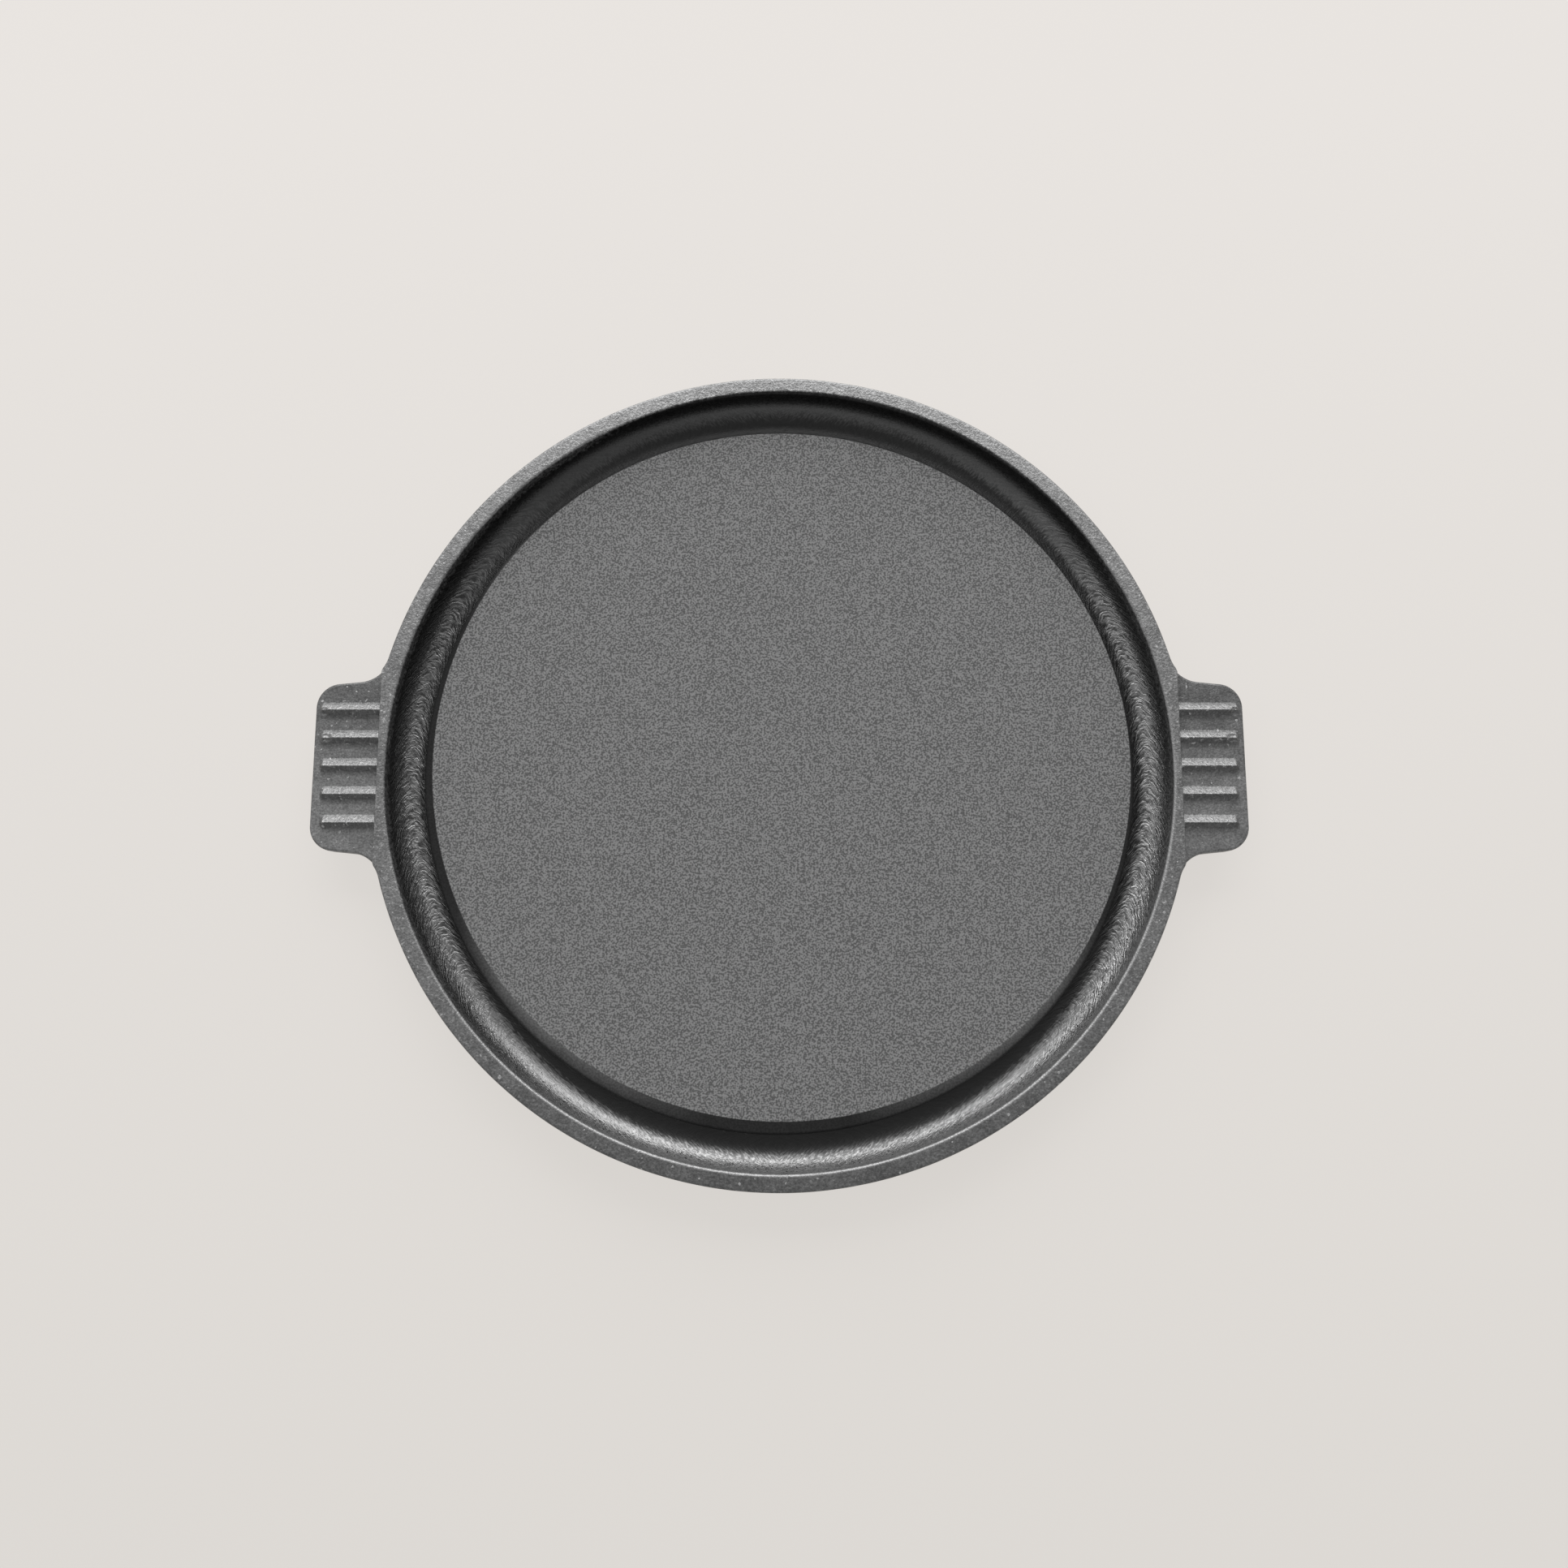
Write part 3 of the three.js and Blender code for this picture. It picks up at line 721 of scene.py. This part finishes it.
# Ripples across the gutter: uneven arches that point to +Y in the gutter's middle
def gutter_ripples(tree, point, y, radius, aside):
    turn = math_node(tree, "ARCTAN2", aside, product(tree, y, -1.0))
    along = product(tree, turn, COVE_START_RADIUS)
    off = math_node(tree, "SUBTRACT", radius, RIPPLE_RADIUS)
    arch = product(tree, off, off, 1 / RIPPLE_ARCH)
    unrest = noise_node(tree, point, RIPPLE_DRIFT_SIZE)
    drift = remap(tree, unrest, *RIPPLE_DRIFT_LEVEL)
    across = product(tree, radius, RIPPLE_WIDTH / RIPPLE_LENGTH)
    place = {"X": across, "Y": summed(tree, along, arch, drift)}
    bent = node(tree, "ShaderNodeCombineXYZ", place).outputs[0]
    return noise_node(tree, bent, RIPPLE_WIDTH, detail=1.0)


# Where a point of the casting is, and the patterns of its skin there
def cast_fields(tree):
    point = node(tree, "ShaderNodeTexCoord").outputs["Object"]
    parts = node(tree, "ShaderNodeSeparateXYZ", {0: point}).outputs
    radius = axis_distance(tree, point)
    aside = math_node(tree, "ABSOLUTE", parts["X"])
    return SimpleNamespace(
        x=parts["X"],
        y=parts["Y"],
        height=parts["Z"],
        radius=radius,
        aside=aside,
        lit_wall_turn=side_turn(tree, point, radius, LIT_WALL_SIDE),
        shaded_edge_turn=side_turn(tree, point, radius, SHADED_EDGE_SIDE),
        bed_light_turn=side_turn(tree, point, radius, BED_LIGHT_SIDE),
        swell=noise_node(tree, point, SKIN_SWELL_SIZE),
        peel=noise_node(tree, point, PEEL_SIZE, detail=2.0, rough=0.6),
        grit=noise_node(tree, point, GRIT_SIZE, detail=1.0),
        lumps=remap(tree, noise_node(tree, point, LUMP_SIZE, detail=0.0), *LUMP_LEVEL),
        strokes=brush_strokes(tree, point),
        ripples=gutter_ripples(tree, point, parts["Y"], radius, aside),
    )


# Shares of the gutter's foot, which carries painted shade, and of its wall. The polished bed lies
# between them.
def gutter_bands(tree, at):
    lean = summed(tree, remap(tree, at.x, *BAND_X), remap(tree, at.strokes, *BAND_LEVEL))
    inwards = math_node(tree, "SUBTRACT", at.radius, remap(tree, at.aside, *FOOT_DISTANCE))
    foot = remap(tree, summed(tree, inwards, lean), *FOOT_RADIUS)
    risen = summed(tree, at.height, lean, remap(tree, at.lit_wall_turn, *WALL_SHIFT_TURN))
    wall_foot = remap(tree, at.aside, *WALL_FOOT_DISTANCE)
    wall_head = remap(tree, at.aside, *WALL_HEAD_DISTANCE)
    return foot, remap(tree, risen, wall_foot, wall_head)


# How much of each zone of the casting there is at a point, from 0 to 1
def cast_zones(tree, at):
    border = summed(tree, at.radius, remap(tree, at.peel, *BORDER_LEVEL))
    # The gutter's black reaches over the rim's inner edge away from the light, as painted shade
    shaded_border = math_node(tree, "SUBTRACT", border, remap(tree, at.shaded_edge_turn, *EDGE_SHADE_TURN))
    inside = remap(tree, shaded_border, *GUTTER_RADIUS)
    # Painted highlight line on the rounding of the rim's inner edge, faded out away from the light
    edge_highlight = product(tree, remap(tree, border, *EDGE_HIGHLIGHT_RADIUS), remap(tree, at.height, *EDGE_HIGHLIGHT_HEIGHT))
    tab = remap(tree, at.aside, *TAB_DISTANCE)
    foot, wall = gutter_bands(tree, at)
    glinting = remap(tree, at.lit_wall_turn, *GLINT_TURN)
    return SimpleNamespace(
        gutter=product(tree, inside, remap(tree, at.height, *GUTTER_HEIGHT)),
        edge_highlight=product(tree, edge_highlight, remap(tree, at.lit_wall_turn, *EDGE_HIGHLIGHT_TURN)),
        under=remap(tree, at.height, *UNDER_HEIGHT),
        raised=remap(tree, at.height, *RAISED_HEIGHT),
        tab=tab,
        crest=product(tree, tab, remap(tree, at.height, *CREST_HEIGHT)),
        foot=foot,
        wall=wall,
        pits=product(tree, remap(tree, at.grit, *PIT_LEVEL), wall),
        glints=product(tree, remap(tree, at.grit, *GLINT_LEVEL), glinting),
    )


# Colour of the rim, the handles and the outer wall, with painted light towards +Y and painted shade
# towards -Y, and darker towards +Y on the handles. The crests of the ridges are lighter on their +Y
# flanks as painted light and darker on their -Y flanks as painted shade. Light specks are painted
# glints.
def skin_colour(tree, at, zone):
    skin = mix(tree, remap(tree, at.swell, *SKIN_LEVEL), *SKIN_GREYS)
    # Painted light towards +Y and painted shade towards -Y
    skin = toned(tree, skin, remap(tree, at.y, *SKIN_NORTH_LIGHT_Y), remap(tree, at.y, *SKIN_SOUTH_SHADE_Y))
    skin = mix(tree, zone.tab, skin, toned(tree, skin, remap(tree, at.y, *TAB_Y)))
    # Painted light on the ridges' +Y flanks and painted shade on their -Y flanks
    flank = math_node(tree, "WRAP", at.y, 0.5 * RIDGE_PITCH, -0.5 * RIDGE_PITCH)
    skin = mix(tree, zone.crest, skin, remap(tree, flank, *FLANK_LIGHT_AND_SHADE_Y))
    skin = toned(tree, skin, remap(tree, at.grit, *GRIT_LEVEL), remap(tree, at.peel, *PEEL_LEVEL))
    # Light specks on the raised tops and on the cast lumps: painted glints
    speck = product(tree, remap(tree, at.peel, *SPECK_LEVEL), zone.raised)
    speck = product(tree, speck, remap(tree, at.aside, *SPECK_DISTANCE))
    return mix(tree, math_node(tree, "MAXIMUM", speck, at.lumps), skin, SPECK_GLINT_GREY)


# Colour of the gutter's polished bed, with painted light and painted shade by side and end, painted
# shade on its foot, and its ripples
def bed_colour(tree, at, zone):
    bed = mix(tree, remap(tree, at.strokes, *STROKE_LEVEL), *BED_GREYS)
    bed = toned(tree, bed, remap(tree, at.lit_wall_turn, *BED_SHADE_TURN), remap(tree, at.y, *BED_SOUTH_SHADE_Y))
    bed = toned(tree, bed, remap(tree, at.bed_light_turn, *BED_LIGHT_TURN), remap(tree, at.x, *BED_EAST_LIGHT_X))
    # Painted shade on the gutter's foot beside the cooking face
    bed = mix(tree, zone.foot, bed, FOOT_SHADE_GREY)
    dark = remap(tree, at.aside, *RIPPLE_DARK_DISTANCE)
    light = remap(tree, at.aside, *RIPPLE_LIGHT_DISTANCE)
    return toned(tree, bed, remap(tree, at.ripples, *RIPPLE_LEVEL, dark, light))


# Colour of the gutter's wall: black with small pits, painted shade on the side away from the light,
# and painted light and painted glints on the side that faces it
def wall_colour(tree, at, zone):
    black = remap(tree, at.lit_wall_turn, *WALL_SHADE_TURN)
    wall = mix(tree, remap(tree, at.lit_wall_turn, *PAINTED_LIGHT_WALL_TURN), black, PAINTED_LIGHT_WALL_GREY)
    wall = toned(tree, wall, remap(tree, at.peel, *WALL_PEEL_LEVEL))
    wall = mix(tree, zone.glints, wall, GLINT_GREY)
    return mix(tree, zone.pits, wall, PIT_GREY)


# Colour of the whole casting
def cast_colour(tree, at, zone):
    gutter = mix(tree, zone.wall, bed_colour(tree, at, zone), wall_colour(tree, at, zone))
    colour = mix(tree, zone.gutter, skin_colour(tree, at, zone), gutter)
    # Painted highlight line on the rim's inner edge
    colour = mix(tree, zone.edge_highlight, colour, EDGE_HIGHLIGHT_GREY)
    return mix(tree, zone.under, colour, UNDER_GREY)


# Roughness of the casting, and how much of a metal it is
def cast_gloss(tree, at, zone):
    rough = mix(tree, zone.crest, remap(tree, at.swell, *ROUGH_LEVEL), CREST_ROUGHNESS)
    rough = mix(tree, zone.gutter, rough, remap(tree, at.height, *GUTTER_ROUGH_HEIGHT))
    rough = mix(tree, zone.under, rough, UNDER_ROUGHNESS)
    metal = mix(tree, zone.crest, SKIN_METAL, CREST_METAL)
    return rough, mix(tree, zone.gutter, metal, GUTTER_METAL)


# Fine relief: orange peel, grit and lumps on the skin, and strokes, ripples and pits in the gutter
def cast_relief(tree, at, zone):
    skin = summed(tree, product(tree, at.peel, PEEL_WEIGHT), at.grit)
    skin = product(tree, skin, remap(tree, zone.raised, *RAISED_SHARE))
    skin = summed(tree, skin, at.lumps)
    rippled = product(tree, at.ripples, remap(tree, at.aside, *RIPPLE_WEIGHT_DISTANCE))
    hollow = summed(tree, product(tree, at.strokes, STROKE_WEIGHT), rippled)
    return mix(tree, zone.gutter, skin, math_node(tree, "SUBTRACT", hollow, zone.pits))


# Seasoned cast skin: grey and rough on the rim and handles, black and satin in the gutter,
# darker and matt underneath
def cast_skin():
    material, tree, shader = new_material("cast_skin")
    at = cast_fields(tree)
    zone = cast_zones(tree, at)
    rough, metal = cast_gloss(tree, at, zone)
    tree.links.new(cast_colour(tree, at, zone), shader.inputs["Base Color"])
    tree.links.new(rough, shader.inputs["Roughness"])
    tree.links.new(metal, shader.inputs["Metallic"])
    add_relief(tree, shader, cast_relief(tree, at, zone), RELIEF_DEPTH, RELIEF_STRENGTH)
    return material


# Colour of the plain crescent where the grain ends
def crescent_colour(tree, point, grain):
    along = node(tree, "ShaderNodeSeparateXYZ", {0: point}).outputs["X"]
    aside = math_node(tree, "ABSOLUTE", along)
    rise = remap(tree, aside, *CRESCENT_RISE_DISTANCE)
    fall = remap(tree, aside, *CRESCENT_FALL_DISTANCE)
    fading = remap(tree, axis_distance(tree, point), *CRESCENT_EDGE_RADIUS)
    glow = product(tree, math_node(tree, "MINIMUM", rise, fall), fading)
    clouds = remap(tree, noise_node(tree, point, CLOUD_SIZE), *CLOUD_LEVEL)
    grained = remap(tree, grain, *CRESCENT_GRAIN_LEVEL)
    return product(tree, summed(tree, glow, CRESCENT_GREY), clouds, grained)


# Matt cooking face with a fine grain, and plain dark iron where the grain ends
def cooking_skin():
    material, tree, shader = new_material("cooking_skin")
    point = node(tree, "ShaderNodeTexCoord").outputs["Object"]
    from_centre = vector_node(tree, "SUBTRACT", point, GRAIN_CENTRE)
    grained = remap(tree, axis_distance(tree, from_centre), *GRAIN_BORDER_RADIUS)
    grain = noise_node(tree, point, GRAIN_SIZE, detail=0.0)
    grainy = mix(tree, remap(tree, grain, *GRAIN_LEVEL), *GRAIN_GREYS)
    colour = mix(tree, grained, crescent_colour(tree, point, grain), grainy)
    rough = mix(tree, grained, CRESCENT_ROUGHNESS, GRAIN_ROUGHNESS)
    tree.links.new(colour, shader.inputs["Base Color"])
    tree.links.new(rough, shader.inputs["Roughness"])
    shader.inputs["Specular IOR Level"].default_value = FACE_SPECULAR
    add_relief(tree, shader, grain, GRAIN_DEPTH, GRAIN_STRENGTH)
    return material


# Matt floor. Where the eye meets it, straight or in a reflection, most of its tone is its own light.
def floor_skin():
    material, tree, shader = new_material("pale_floor")
    point = node(tree, "ShaderNodeTexCoord").outputs["Object"]
    along = node(tree, "ShaderNodeSeparateXYZ", {0: point}).outputs["Y"]
    colour = mix(tree, remap(tree, along, *FLOOR_Y), FLOOR_NEAR, FLOOR_FAR)
    tree.links.new(colour, shader.inputs["Base Color"])
    shader.inputs["Roughness"].default_value = 1.0
    shader.inputs["Specular IOR Level"].default_value = 0.0
    glow = node(tree, "ShaderNodeEmission", {"Color": colour, "Strength": 1.0}).outputs[0]
    path = node(tree, "ShaderNodeLightPath").outputs
    seen = math_node(tree, "MAXIMUM", path["Is Camera Ray"], path["Is Glossy Ray"])
    seen = math_node(tree, "MAXIMUM", seen, path["Is Transmission Ray"])
    share = product(tree, seen, FLOOR_OWN_LIGHT)
    mixed = node(tree, "ShaderNodeMixShader", {0: share, 1: shader.outputs[0], 2: glow}).outputs[0]
    tree.links.new(mixed, tree.nodes["Material Output"].inputs["Surface"])
    return material


def pale_floor():
    bpy.ops.mesh.primitive_plane_add(size=FLOOR_SIZE, location=(0, 0, 0))
    floor = bpy.context.object
    floor.name = "floor"
    floor.data.materials.append(floor_skin())


# Rectangular softbox that looks at the plate
def softbox(name, azimuth, elevation, size, watts):
    data = bpy.data.lights.new(name, "AREA")
    data.shape = "RECTANGLE"
    data.size, data.size_y = size
    data.energy = watts
    lamp = bpy.data.objects.new(name, data)
    level = math.cos(elevation)
    away = Vector((-math.sin(azimuth) * level, math.cos(azimuth) * level, math.sin(elevation)))
    lamp.location = away * LIGHT_DISTANCE
    lamp.rotation_euler = away.to_track_quat("Z", "Y").to_euler()
    bpy.context.scene.collection.objects.link(lamp)


# A broad softbox behind the plate, weak ones at one side and low in front, and an even sky
def studio_light():
    for name, settings in SOFTBOXES.items():
        softbox(name, *settings)
    world = bpy.data.worlds.new("studio")
    world.use_nodes = True
    backdrop = world.node_tree.nodes["Background"]
    backdrop.inputs["Color"].default_value = grey(1.0)
    backdrop.inputs["Strength"].default_value = SKY_STRENGTH
    bpy.context.scene.world = world


def camera():
    data = bpy.data.cameras.new("camera")
    data.sensor_width = SENSOR
    data.lens = SENSOR * CAMERA_DISTANCE / FRAME_WIDTH
    data.clip_start = CLIP_START
    made = bpy.data.objects.new("camera", data)
    back = Vector((0, -math.cos(CAMERA_ELEVATION), math.sin(CAMERA_ELEVATION)))
    made.location = CAMERA_TARGET + back * CAMERA_DISTANCE
    made.rotation_euler = back.to_track_quat("Z", "Y").to_euler()
    bpy.context.scene.collection.objects.link(made)
    bpy.context.scene.camera = made


# Gives a piece its material and body, and hides the CAD nodes that it stands for
def dress(piece, material, slot, *nodes):
    piece.data.materials.append(material)
    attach(piece, "root")
    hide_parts(*nodes)


cast = cast_skin()
plate = plate_casting()
weather(plate, PLATE_SEED)
dress(plate, cast, "cast_iron", "base_plate", "rim_wall", "heat_ring")
dress(cooking_face(), cooking_skin(), "cooking_iron", "cooking_surface")
for side, sign in (("right", 1), ("left", -1)):
    tab = handle(f"{side}_handle_casting", sign)
    weather(tab, HANDLE_SEED)
    dress(tab, cast, "cast_iron", f"{side}_handle")

pale_floor()
studio_light()
camera()
bpy.context.scene.view_settings.view_transform = "Standard"
